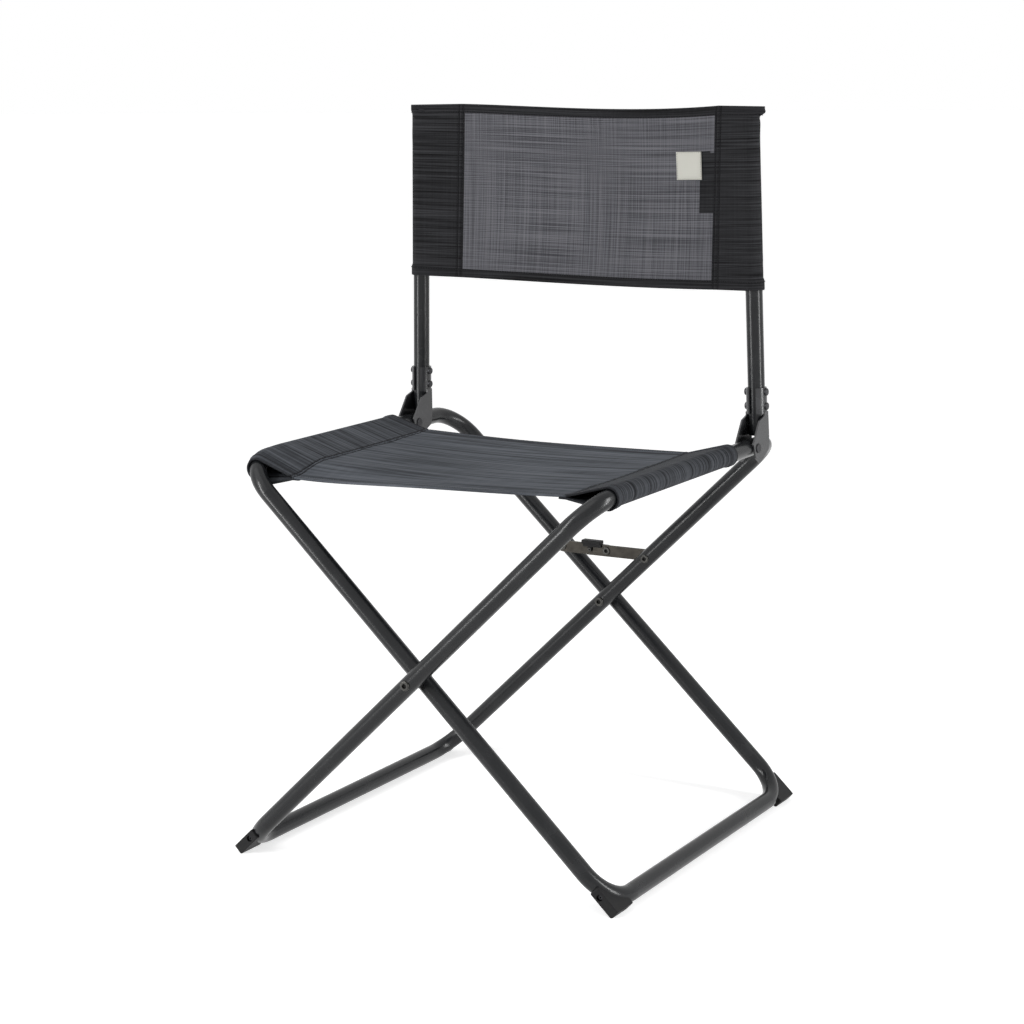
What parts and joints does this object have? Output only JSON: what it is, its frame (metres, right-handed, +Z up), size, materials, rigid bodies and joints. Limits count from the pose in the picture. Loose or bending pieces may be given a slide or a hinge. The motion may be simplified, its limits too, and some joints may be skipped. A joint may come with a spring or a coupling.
{
  "type": "folding camp chair",
  "caption": "Folding camp chair with crossed tubular leg loops, a sling seat, a fold-down mesh sling back on hinged uprights and a locking knee brace.",
  "frame": {"origin": "floor level under the middle of the chair", "axes": "+Z up, +Y towards the back of the chair, +X to the right as seen from the front"},
  "size_m": [0.476, 0.4689, 0.8142],
  "materials": {
    "frame_paint": "satin powder coat",
    "bracket_paint": "satin powder coat",
    "rivet_steel": "dull plated",
    "dark_rivet": "blackened",
    "brace_steel": "dull bronze grey plating",
    "black_plastic": "fine moulded grain",
    "seat_cloth": "woven, slubbed",
    "back_mesh": "open woven mesh",
    "label_cloth": "plain woven tape"
  },
  "bodies": {
    "left_frame": {"left_frame_loop": "frame_paint", "right_front_foot": "black_plastic", "right_rear_foot": "black_plastic", "right_foot_screws": "dark_rivet", "brace_rivet_left": "rivet_steel", "seat_sling": "seat_cloth"},
    "right_frame": {"right_frame_loop": "frame_paint", "left_front_foot": "black_plastic", "left_rear_foot": "black_plastic", "left_foot_screws": "dark_rivet", "front_scissor_rivet": "rivet_steel", "rear_scissor_rivet": "rivet_steel", "front_scissor_spacer": "black_plastic", "rear_scissor_spacer": "black_plastic", "brace_rivet_right": "rivet_steel"},
    "left_back": {"left_upright": "frame_paint", "left_upright_cap": "black_plastic", "left_bracket_inner": "bracket_paint", "left_bracket_outer": "bracket_paint", "left_bracket_rivets": "dark_rivet", "left_back_pivot": "dark_rivet", "back_sling": "back_mesh", "back_label": "label_cloth"},
    "right_back": {"right_upright": "frame_paint", "right_upright_cap": "black_plastic", "right_bracket_inner": "bracket_paint", "right_bracket_outer": "bracket_paint", "right_bracket_rivets": "dark_rivet", "right_back_pivot": "dark_rivet"},
    "brace_left": {"brace_bar_left": "brace_steel", "knee_rivet_rear": "rivet_steel"},
    "brace_right": {"brace_bar_right": "brace_steel", "knee_rivet_front": "rivet_steel", "release_tab": "black_plastic", "tab_rivet": "rivet_steel"}
  },
  "joints": [
    {"name": "frame_fold", "type": "hinge", "parent": "left_frame", "child": "right_frame", "pos_m": [0, 0, 0.22401], "axis": [0, -1, 0], "range_deg": [0, 75], "deforming": ["seat_sling", "back_sling", "back_label"]},
    {"name": "left_back_fold", "type": "hinge", "parent": "left_frame", "child": "left_back", "pos_m": [-0.225, 0.131, 0.43701], "axis": [0.9996, 0, -0.0288], "range_deg": [0, 90]},
    {"name": "right_back_fold", "type": "hinge", "parent": "right_frame", "child": "right_back", "pos_m": [0.225, 0.131, 0.43701], "axis": [0.9996, 0, 0.0288], "range_deg": [0, 90]},
    {"name": "brace_left_swing", "type": "hinge", "parent": "left_frame", "child": "brace_left", "pos_m": [-0.062, 0.2122, 0.28271], "axis": [0, -1, 0], "range_deg": [0, 115]},
    {"name": "brace_right_swing", "type": "hinge", "parent": "right_frame", "child": "brace_right", "pos_m": [0.062, 0.2098, 0.28271], "axis": [0, 1, 0], "range_deg": [0, 115]}
  ],
  "couplings": [
    {"joint": "left_back_fold", "follows": "frame_fold", "ratio": 1.2},
    {"joint": "right_back_fold", "follows": "frame_fold", "ratio": 1.2},
    {"joint": "brace_left_swing", "follows": "frame_fold", "ratio": 1.5328},
    {"joint": "brace_right_swing", "follows": "frame_fold", "ratio": 1.5328}
  ]
}
